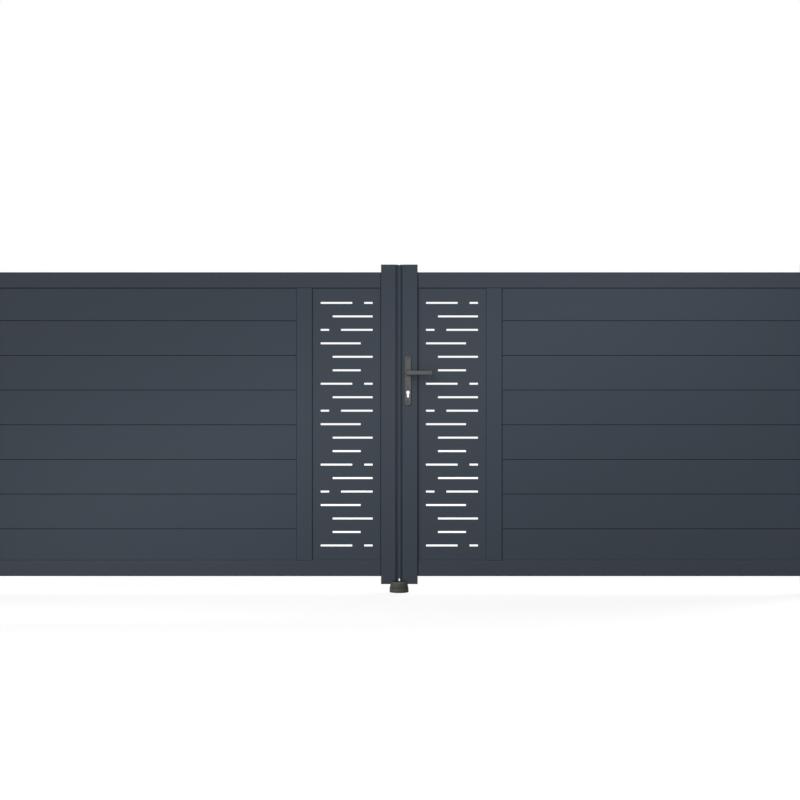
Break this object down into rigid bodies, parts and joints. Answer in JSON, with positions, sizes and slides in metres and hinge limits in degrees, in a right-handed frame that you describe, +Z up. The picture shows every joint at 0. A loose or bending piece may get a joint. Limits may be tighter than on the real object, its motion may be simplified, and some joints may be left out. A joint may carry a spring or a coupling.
{
  "type": "double leaf swing gate",
  "caption": "Double leaf driveway gate with slatted infill, slotted panels beside the meeting stiles, a lever lock, hinges, posts and a ground stop.",
  "frame": {"origin": "centre of the underside of the left post's base plate, at ground level", "axes": "+X along the gate from the left post to the right one, +Y inward, the way the leaves open, +Z up; the outer side with the ground stop's raised half faces -Y"},
  "size_m": [4.39, 0.22, 1.62],
  "materials": {
    "coated_metal": "satin",
    "hinge_steel": "satin",
    "handle_metal": "satin",
    "lock_steel": "satin",
    "cap_plastic": "matte",
    "seal_rubber": "matte",
    "stop_plastic": "matte"
  },
  "bodies": {
    "posts": {"left_post": "coated_metal", "left_post_cap": "coated_metal", "left_base_plate": "coated_metal", "left_hinge_brackets": "hinge_steel", "left_hinge_pins": "hinge_steel", "right_post": "coated_metal", "right_post_cap": "coated_metal", "right_base_plate": "coated_metal", "right_hinge_brackets": "hinge_steel", "right_hinge_pins": "hinge_steel", "ground_stop": "stop_plastic"},
    "left_leaf": {"left_hinge_eyes": "hinge_steel", "left_hinge_stile": "coated_metal", "left_meeting_stile": "coated_metal", "left_bottom_rail": "coated_metal", "left_top_rail": "coated_metal", "left_mullion": "coated_metal", "left_stile_caps": "cap_plastic", "left_slats": "coated_metal", "left_perforated_panel": "coated_metal", "left_seals": "seal_rubber", "strike_plate": "lock_steel"},
    "right_leaf": {"right_hinge_eyes": "hinge_steel", "right_hinge_stile": "coated_metal", "right_meeting_stile": "coated_metal", "right_bottom_rail": "coated_metal", "right_top_rail": "coated_metal", "right_mullion": "coated_metal", "right_stile_caps": "cap_plastic", "right_slats": "coated_metal", "right_perforated_panel": "coated_metal", "right_seals": "seal_rubber", "lock_case": "lock_steel", "lock_faceplate": "lock_steel", "outer_lock_plate": "handle_metal", "inner_lock_plate": "handle_metal"},
    "lever": {"outer_lever": "handle_metal", "inner_lever": "handle_metal", "spindle": "lock_steel"}
  },
  "joints": [
    {"name": "left_leaf_hinge", "type": "hinge", "parent": "posts", "child": "left_leaf", "pos_m": [0.08, 0.04, 0.8], "axis": [0, 0, 1], "range_deg": [0, 110]},
    {"name": "right_leaf_hinge", "type": "hinge", "parent": "posts", "child": "right_leaf", "pos_m": [4.09, 0.04, 0.8], "axis": [0, 0, -1], "range_deg": [0, 110]},
    {"name": "lever_turn", "type": "hinge", "parent": "right_leaf", "child": "lever", "pos_m": [2.1262, 0, 1.0404], "axis": [0, 1, 0], "range_deg": [0, 40], "stiffness_Nm_per_rad": 1.5, "springref_deg": -34.38}
  ]
}
